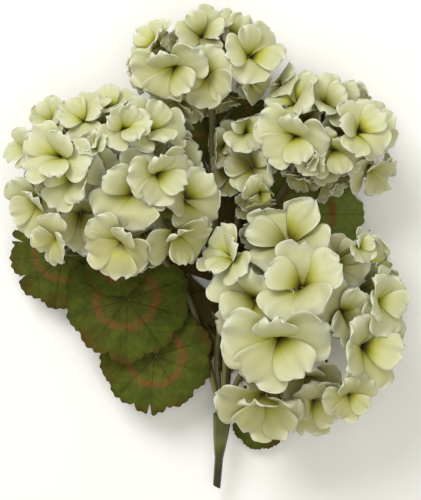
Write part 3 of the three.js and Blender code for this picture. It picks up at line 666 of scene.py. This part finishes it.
def place_florets(head):
    """Throat, facing, size, turn, seed and order of each floret. The listed ones stand on the upper
    half of an ellipsoid, facing out and up, each leaning a little its own way. The lower ones are
    spread by the golden angle from the one straight below the hub. Florets that would touch are sunk
    to different levels, and a lower order lies over a higher one."""
    centre = np.array(head["centre"], dtype=float)
    rx, ry, rz = head["reach"]
    x, y, size, turn = np.array(head["florets"], dtype=float).T
    rise = np.sqrt(np.maximum(LOWEST_RISE ** 2, 1 - (x / rx) ** 2 - (y / ry) ** 2))
    z = (rz - THROAT_SINK * size) * rise
    facing = unit(np.stack([FACING_OUT * x / rx ** 2, FACING_OUT * y / ry ** 2,
                            z / rz ** 2 + FACING_UP], axis=1))
    i = np.arange(len(x))
    facing = unit(facing + FLORET_LEAN * np.stack([wave(i, 0.5), wave(i, 1.3), 0 * x], axis=1))
    sink = np.tile([0.0, 0.0, -1.0], (len(x), 1))
    i = np.arange(head["lower"])
    lower_size = LOWER_SIZE * (rx + ry)
    drop = LOWER_BAND * i / head["lower"] - 1
    angle = np.radians(head["turn"] + GOLDEN_ANGLE * i)
    width = np.sqrt(1 - drop ** 2)
    way = np.stack([width * np.cos(angle), width * np.sin(angle), drop], axis=1)
    depth = min(LOWER_DEPTH * rz, centre[2] - LOWEST_THROAT * lower_size)
    reach = np.array([LOWER_REACH * rx, LOWER_REACH * ry, depth])
    lower_facing = unit(way / reach)
    throat = centre + np.vstack([np.stack([x, y, z], axis=1), way * reach])
    facing = np.vstack([facing, lower_facing])
    sink = np.vstack([sink, -lower_facing])
    size = np.r_[size, np.full(len(i), lower_size)]
    turn = np.r_[turn, TURN_STEP * i]
    seed = np.r_[np.arange(len(x)), 30 + i]
    level = []
    for k, point in enumerate(throat):
        near = np.linalg.norm(throat[:k] - point, axis=1) < NEAR * (size[:k] + size[k])
        taken = {level[j] for j in np.flatnonzero(near)}
        level.append(next((n for n in range(LEVELS - 1) if n not in taken), LEVELS - 1))
    throat = throat + LEVEL_STEP * np.array(level)[:, None] * sink
    order = 100 * np.array(level) + np.arange(len(level))
    return dict(throat=throat, facing=facing, size=size, turn=np.radians(turn), seed=seed,
                loose=np.where(seed < 30, 1.0, 0.0), shut=np.zeros(len(size)), order=order)


def inner_florets(head):
    """Florets between the outer ones and the hub, which close the gaps: spread by the golden angle from
    the top of a smaller ellipsoid down past its middle, each facing straight out."""
    i = np.arange(head["inner"])
    height = 1 - INNER_BAND * (i + 0.5) / head["inner"]
    angle = np.radians(GOLDEN_ANGLE * i)
    width = np.sqrt(1 - height ** 2)
    way = np.stack([width * np.cos(angle), width * np.sin(angle), height], axis=1)
    reach = INNER_SHARE * np.array(head["reach"])
    size = np.full(len(i), INNER_SIZE * (head["reach"][0] + head["reach"][1]))
    return dict(throat=np.array(head["centre"]) + way * reach, facing=unit(way / reach), size=size,
                turn=np.radians(TURN_STEP * i), seed=60 + i, loose=np.full(len(i), 0.8),
                shut=np.zeros(len(i)), order=1000 + i)


def bud_florets(head):
    """Half-open buds that stand on the top of a head: small florets whose petals are tilted up until
    they close over the throat."""
    x, y, size, turn = np.array(head["buds"], dtype=float).T
    rx, ry, rz = head["reach"]
    z = BUD_SHARE * rz * np.sqrt(1 - (x / rx) ** 2 - (y / ry) ** 2)
    facing = unit(np.stack([x / rx ** 2, y / ry ** 2, z / rz ** 2], axis=1))
    return dict(throat=np.array(head["centre"]) + np.stack([x, y, z], axis=1), facing=facing, size=size,
                turn=np.radians(turn), seed=80 + np.arange(len(x)), loose=np.ones(len(x)),
                shut=np.full(len(x), BUD_TILT), order=np.full(len(x), -1))


def floret_sides(facing):
    """The two directions square to each floret's facing, the first as near to X as can be."""
    start = np.where(np.abs(facing[:, :1]) > 0.95, [[0.0, 1.0, 0.0]], [[1.0, 0.0, 0.0]])
    right = unit(start - facing * np.sum(start * facing, axis=1, keepdims=True))
    return right, np.cross(facing, right)


def tuck_under(points, order, outer):
    """Petals pressed down by the florets that lie over them. Over a floret's cup, whose height grows
    with the distance from its axis as a petal's does, a point goes down along the axis to a little
    below the cup. The press fades out past the floret's rim."""
    for j, throat in enumerate(outer["throat"]):
        size = outer["size"][j]
        facing = outer["facing"][j]
        offset = points - throat
        height = offset @ facing
        away = np.linalg.norm(offset - height[..., None] * facing, axis=-1) / size
        share = np.minimum(away, 1)
        cup = (PETAL_RISE * (1 - (1 - share) ** 2) - (PETAL_CURL + TUCK_SLOPE) * share
               - TUCK_FUNNEL * (1 - share) ** 6)
        fade = np.clip((TUCK_REACH - away) / TUCK_FADE, 0, 1)
        press = np.maximum(height + TUCK_GAP - size * cup, 0) * fade
        under = (order > outer["order"][j])[:, None, None, None]
        points = points - (press * under)[..., None] * facing
    return points


def petal_points(florets, limits, grid, outer):
    """All petals of a head, as an array of florets, petals, rows and columns. With u from throat to
    tip and v across, a petal is wide past its middle and rounded at its tip with a shallow dip, and
    sways to one side by the square of u. It rises from a narrow funnel and rolls back by the cube of
    u. Its sides are cupped by the square of v, one edge lies over the next petal, and sines across
    it ruffle its rim. The whole petal is then tilted about the funnel's foot, turned about the
    throat, tucked under the florets over it and bent clear of its limits."""
    u = np.linspace(0, 1, grid[0] + 1)[None, None, :, None]
    v = np.linspace(-1, 1, grid[1] + 1)[None, None, None, :]
    k = np.arange(PETALS)[None, :, None, None]
    seed, size, loose, turn, shut = (florets[key][:, None, None, None]
                                     for key in ("seed", "size", "loose", "turn", "shut"))
    length = size * (1 + 0.08 * wave(seed, k))
    curl = PETAL_CURL + 0.12 * wave(seed + 0.4, k)
    tilt = shut + loose * (FLORET_CUP * (1 + wave(seed, 2.2)) + PETAL_TILT * wave(seed + 7, k))
    twist = loose * PETAL_TWIST * wave(seed + 9, k)
    neck = PETAL_NECK + (1 - PETAL_NECK) * np.sin(np.pi / 2 * u / PETAL_WIDEST)
    end = np.sqrt(np.maximum(0, 1 - ((u - PETAL_WIDEST) / PETAL_TIP) ** 2))
    spread = np.where(u < PETAL_WIDEST, neck, end)
    dip = 0.045 * (1 + wave(seed + 2, k)) * np.exp(-((v / 0.35) ** 2)) * u ** 8
    along = THROAT_RADIUS + (1 - THROAT_RADIUS) * u * (1 - 0.04 * v * v * u) - 0.07 * v * v * u ** 6 - dip
    along = along * (1 + 0.022 * np.sin(7 * v + 5 * wave(seed + 2, k)) * u ** 4)
    across = (PETAL_HALF_WIDTH * v * spread * (1 + 0.14 * wave(seed + 3, k))
              + PETAL_SWAY * wave(seed + 10, k) * u * u)
    rise = PETAL_RISE * (1 - (1 - u) ** 2) - curl * u ** 3
    cup = v * v * (PETAL_CUP * u ** 1.7 * (1.15 - u) + SIDE_LIFT * u)
    lap = (twist + PETAL_LAP) * v * u
    ruffle = PETAL_RUFFLE * np.sin(5 * v + 3.1 * wave(seed + 1, k)) * u ** 3
    ripple = PETAL_RIPPLE * np.sin(10 * v + 4 * u + 3 * wave(seed + 5, k)) * u ** 1.5
    crease = -PETAL_CREASE * np.exp(-((v / 0.13) ** 2)) * u * (1.1 - u)
    roll = -0.05 * wave(seed + 4, k) * np.maximum(0, (u - 0.72) / 0.28) ** 2
    edge = 0.1 * wave(seed + 6, k) * np.abs(v) ** 3 * u
    funnel = FUNNEL_DEPTH * (1 - (1 - u) ** 6)
    lift = rise + cup + lap + ruffle + ripple + crease + roll + edge + funnel
    out = along * np.cos(tilt) - lift * np.sin(tilt)
    up = along * np.sin(tilt) + lift * np.cos(tilt) - FUNNEL_DEPTH
    angle = turn + 2 * np.pi * k / PETALS + loose * PETAL_YAW * wave(seed + 8, k)
    x = length * (out * np.cos(angle) - across * np.sin(angle))
    y = length * (out * np.sin(angle) + across * np.cos(angle))
    facing = florets["facing"][:, None, None, None]
    right, forward = (side[:, None, None, None] for side in floret_sides(florets["facing"]))
    points = (florets["throat"][:, None, None, None] + x[..., None] * right + y[..., None] * forward
              + (length * up)[..., None] * facing)
    points = tuck_under(points, florets["order"], outer)
    margin = PETAL_THICKNESS / 2 + PRESS_STEP * (seed % PETALS)
    facing = np.broadcast_to(facing, points.shape)
    maps = {"petal": np.stack(np.broadcast_arrays(u, (v + 1) / 2, x)[:2], axis=-1),
            "cloth": np.stack(np.broadcast_arrays(length * along, length * across), axis=-1)}
    return bend_clear(points, facing, limits, margin), maps


def add_petals(name, kind, florets, outer, material, grid, node=None):
    """Petals of a head in one mesh. How deep a point lies in the head, how far below its middle, and a
    tint for each petal are kept as attributes."""
    head = HEADS[name]
    points, maps = petal_points(florets, limits_of(name), grid, outer)
    rows, columns = points.shape[2:4]
    square = grid_faces(rows, columns)
    starts = np.arange(points.shape[0] * PETALS)[:, None, None] * rows * columns
    faces = (square[None] + starts).reshape(-1, 4)
    piece = add_piece(name + kind, points, faces.tolist(), material, node, uv=maps)
    depth = 1 - np.linalg.norm((points.reshape(-1, 3) - head["centre"]) / head["reach"], axis=1)
    add_value(piece, "inside", np.clip(depth, 0, 1))
    tone = np.broadcast_to(wave(florets["seed"][:, None] + 0.7, np.arange(PETALS)[None]) / 2 + 0.5,
                           points.shape[:2])
    add_value(piece, "tint", np.repeat(tone.ravel(), rows * columns))
    below = (head["centre"][1] - points[..., 1]) / head["reach"][1]
    add_value(piece, "below", np.clip(below, 0, 1))
    thickness = piece.modifiers.new("thickness", "SOLIDIFY")
    thickness.thickness = PETAL_CLOTH
    thickness.offset = 0


def petal_cloth(weave):
    """Cream polyester cloth that lets a little light through, dyed yellow-green from the throat outwards in
    streaks, with a beige tint that differs from petal to petal. Painted shade darkens the bottom of each
    throat and the petals deep in the head and browns those low on it, and the rim is palest, partly from
    the cloth and partly from a painted highlight."""
    material, tree, shader = new_material("petal_cloth", 0.5, Specular_IOR_Level=0.45,
                                          Subsurface_Weight=0.3, Subsurface_Scale=0.0015,
                                          Subsurface_Radius=(1.0, 1.0, 0.8))
    uv = add_node(tree, "ShaderNodeUVMap", uv_map="petal").outputs["UV"]
    parts = add_node(tree, "ShaderNodeSeparateXYZ", {0: uv})
    outward, across = parts.outputs[0], parts.outputs[1]
    place = add_node(tree, "ShaderNodeTexCoord").outputs["Object"]
    streak_place = add_node(tree, "ShaderNodeCombineXYZ", {0: maths(tree, "MULTIPLY", outward, 1.5),
                                                           1: maths(tree, "MULTIPLY", across, 9.0)})
    streaks = add_node(tree, "ShaderNodeTexNoise", {"Vector": streak_place.outputs[0], "Scale": 1.0,
                                                    "Detail": 3.0})
    reach = maths(tree, "SUBTRACT", outward,
                  maths(tree, "MULTIPLY", maths(tree, "SUBTRACT", streaks.outputs["Fac"], 0.5), 0.2))
    tint = add_node(tree, "ShaderNodeAttribute", attribute_name="tint").outputs["Fac"]
    reach = maths(tree, "ADD", reach, maths(tree, "MULTIPLY", maths(tree, "SUBTRACT", tint, 0.4), 0.2))
    # The dye, with painted shade at the bottom of the throat.
    dye_and_throat_shade = colour_ramp(tree, reach, PETAL_DYE_AND_THROAT_SHADE)
    inside = add_node(tree, "ShaderNodeAttribute", attribute_name="inside").outputs["Fac"]
    deep = add_node(tree, "ShaderNodeMapRange", {"Value": inside, "From Min": 0.1, "From Max": 0.45})
    colour = mix_colours(tree, deep.outputs["Result"], dye_and_throat_shade, srgb(*PETAL_SHADE))
    # Petals low on the head are mixed towards beige as painted shade; the share from the tint is each
    # petal's own random tone.
    below = add_node(tree, "ShaderNodeAttribute", attribute_name="below").outputs["Fac"]
    tone = maths(tree, "ADD", maths(tree, "MULTIPLY", tint, 0.2), maths(tree, "MULTIPLY", below, 0.5))
    colour = mix_colours(tree, tone, colour, srgb(*PETAL_BEIGE_AND_LOW_SHADE))
    # The rim is mixed towards near-white: partly the paler cloth, partly a painted highlight.
    aside = maths(tree, "ABSOLUTE", maths(tree, "SUBTRACT", maths(tree, "MULTIPLY", across, 2.0), 1.0))
    rim = maths(tree, "POWER", maths(tree, "MAXIMUM", outward, aside), 6.0)
    rim_pale_and_highlight = maths(tree, "MULTIPLY", maths(tree, "MULTIPLY", rim, outward), 0.8)
    colour = mix_colours(tree, rim_pale_and_highlight, colour, srgb(*PETAL_RIM_PALE_AND_HIGHLIGHT))
    tree.links.new(colour, shader.inputs["Base Color"])
    cloth = add_node(tree, "ShaderNodeUVMap", uv_map="cloth").outputs["UV"]
    threads = add_node(tree, "ShaderNodeGroup", {}, node_tree=weave)
    tree.links.new(cloth, threads.inputs["Vector"])
    threads.inputs["Threads"].default_value = 14.0
    crinkle = add_node(tree, "ShaderNodeTexNoise", {"Vector": place, "Scale": 260.0, "Detail": 3.0})
    relief = maths(tree, "ADD", maths(tree, "MULTIPLY", threads.outputs["Height"], 0.1),
                   maths(tree, "ADD", crinkle.outputs["Fac"],
                         maths(tree, "MULTIPLY", streaks.outputs["Fac"], 0.4)))
    bump = add_node(tree, "ShaderNodeBump", {"Height": relief, "Strength": 0.2, "Distance": 0.0008})
    tree.links.new(bump.outputs["Normal"], shader.inputs["Normal"])
    return material


def green_plastic():
    """Soft green plastic of the floret stalks and of the hubs, darker towards the hub."""
    material, tree, shader = new_material("calyx_plastic", 0.6)
    place = add_node(tree, "ShaderNodeTexCoord").outputs["Object"]
    patches = add_node(tree, "ShaderNodeTexNoise", {"Vector": place, "Scale": 150.0, "Detail": 3.0})
    outward = add_node(tree, "ShaderNodeAttribute", attribute_name="outward").outputs["Fac"]
    factor = maths(tree, "MULTIPLY", outward, maths(tree, "ADD", patches.outputs["Fac"], 0.5))
    colour = mix_colours(tree, factor, srgb(*HUB_OLIVE), srgb(*CALYX_GREEN))
    tree.links.new(colour, shader.inputs["Base Color"])
    return material


STALK_STEPS = 14
FLORET_STALK_SIDES = 8
CALYX_DEPTH = 0.22
HUB_SHARE = 0.3


def floret_stalks(florets, centre):
    """Rings of each floret's stalk. Its middle line is a square curve from the hub that ends along the
    floret's axis under the throat. The calyx is a bell-shaped swelling of its radius near that end."""
    t = np.linspace(0.12, 1, STALK_STEPS)[None, :, None]
    facing = florets["facing"][:, None]
    size = florets["size"][:, None, None]
    throat = florets["throat"][:, None] - CALYX_DEPTH * size * facing
    distance = np.linalg.norm(throat - centre, axis=-1, keepdims=True)
    bend = throat - facing * distance * 0.45
    line = (1 - t) ** 2 * centre + 2 * t * (1 - t) * bend + t ** 2 * throat
    way = unit(2 * (1 - t) * (bend - centre) + 2 * t * (throat - bend))
    right = floret_sides(florets["facing"])[0][:, None]
    side = unit(right - way * np.sum(right * way, axis=-1, keepdims=True))
    front = np.cross(side, way)
    radius = 0.8 + 0.02 * size * t + 0.06 * size * np.exp(-(((t - 0.86) / 0.09) ** 2))
    angle = np.linspace(0, 2 * np.pi, FLORET_STALK_SIDES, endpoint=False)
    rings = [line + radius * (math.cos(a) * side + math.sin(a) * front) for a in angle]
    return np.stack(rings, axis=2), np.broadcast_to(t, radius.shape)


def hub_points(centre, reach):
    """Rings of the hub, an ellipsoid of a share of the head's reach, with small knobs on it."""
    latitude = np.linspace(-1.5, 1.5, 14)[:, None]
    angle = np.linspace(0, 2 * np.pi, 24, endpoint=False)[None, :]
    knob = HUB_SHARE * (1 + 0.08 * np.sin(5 * angle) * np.cos(6 * latitude))
    ball = np.stack([knob * np.cos(latitude) * np.cos(angle), knob * np.cos(latitude) * np.sin(angle),
                     knob * np.sin(latitude)], axis=-1)
    return centre + ball * reach


def add_green(name, florets, centre, reach, material):
    """The hub and the floret stalks of one head, in one mesh."""
    stalks, outward = floret_stalks(florets, centre)
    count, rows, sides = stalks.shape[:3]
    faces = [face for i in range(count) for face in capped_faces(rows, sides, start=i * rows * sides)]
    hub = hub_points(centre, reach)
    faces += capped_faces(*hub.shape[:2], start=count * rows * sides)
    points = np.vstack([stalks.reshape(-1, 3), hub.reshape(-1, 3)])
    piece = add_piece(name + "_stalks", points, faces, material)
    value = np.r_[np.repeat(outward.ravel(), sides), np.zeros(hub.size // 3)]
    add_value(piece, "outward", value)


petal_material = petal_cloth(cloth_threads)
green_material = green_plastic()
for head_name, head_values in HEADS.items():
    head_centre = np.array(head_values["centre"], dtype=float)
    head_reach = np.array(head_values["reach"], dtype=float)
    head_florets = place_florets(head_values)
    add_petals(head_name, "_petals", head_florets, head_florets, petal_material, PETAL_GRID, head_name)
    add_petals(head_name, "_inner_petals", inner_florets(head_values), head_florets, petal_material,
               INNER_GRID)
    if "buds" in head_values:
        buds = bud_florets(head_values)
        add_petals(head_name, "_buds", buds, head_florets, petal_material, PETAL_GRID)
    add_green(head_name, head_florets, head_centre, head_reach, green_material)


# The picture: a pale table top, a broad soft light from the upper left, and the camera straight above.
CAMERA_AT = np.array([2.7, -1.2, 1000.0])
CAMERA_LENS = 112.8
SENSOR = 36.0
TABLE = (250, 250, 248)
TABLE_REACH = 3
WORLD_TINT = (1, 0.96, 0.84, 1)
WORLD_STRENGTH = 0.46


def add_light(name, place, size, power):
    """A soft square light at a place in metres, turned to the middle of the bush."""
    light = bpy.data.lights.new(name, "AREA")
    light.size = size
    light.energy = power
    lamp = bpy.data.objects.new(name, light)
    lamp.location = place
    aim = np.array([0, 0, 0.04]) - np.array(place)
    slope = math.acos(-aim[2] / np.linalg.norm(aim))
    lamp.rotation_euler = (slope, 0, math.atan2(aim[1], aim[0]) - math.pi / 2)
    bpy.context.scene.collection.objects.link(lamp)


table_mesh = bpy.data.meshes.new("table_top")
table_corners = TABLE_REACH * np.array([(-1, -1, 0), (1, -1, 0), (1, 1, 0), (-1, 1, 0)])
table_mesh.from_pydata(table_corners, [], [(0, 1, 2, 3)])
table = bpy.data.objects.new("table_top", table_mesh)
table_material, _, table_shader = new_material("table_top", 0.9)
table_shader.inputs["Base Color"].default_value = srgb(*TABLE)
table_mesh.materials.append(table_material)
bpy.context.scene.collection.objects.link(table)

add_light("key", (-0.5, 0.75, 1.05), 0.7, 12)
add_light("fill", (0.15, -0.2, 1.4), 0.9, 6)
world = bpy.data.worlds.new("studio")
world.use_nodes = True
world.node_tree.nodes["Background"].inputs["Color"].default_value = WORLD_TINT
world.node_tree.nodes["Background"].inputs["Strength"].default_value = WORLD_STRENGTH
scene = bpy.context.scene
scene.world = world
scene.view_settings.view_transform = "Standard"

camera_data = bpy.data.cameras.new("camera")
camera_data.sensor_width = SENSOR
camera_data.lens = CAMERA_LENS
camera = bpy.data.objects.new("camera", camera_data)
camera.location = (CAMERA_AT - FOOTPRINT_CENTRE) / 1000
scene.collection.objects.link(camera)
scene.camera = camera
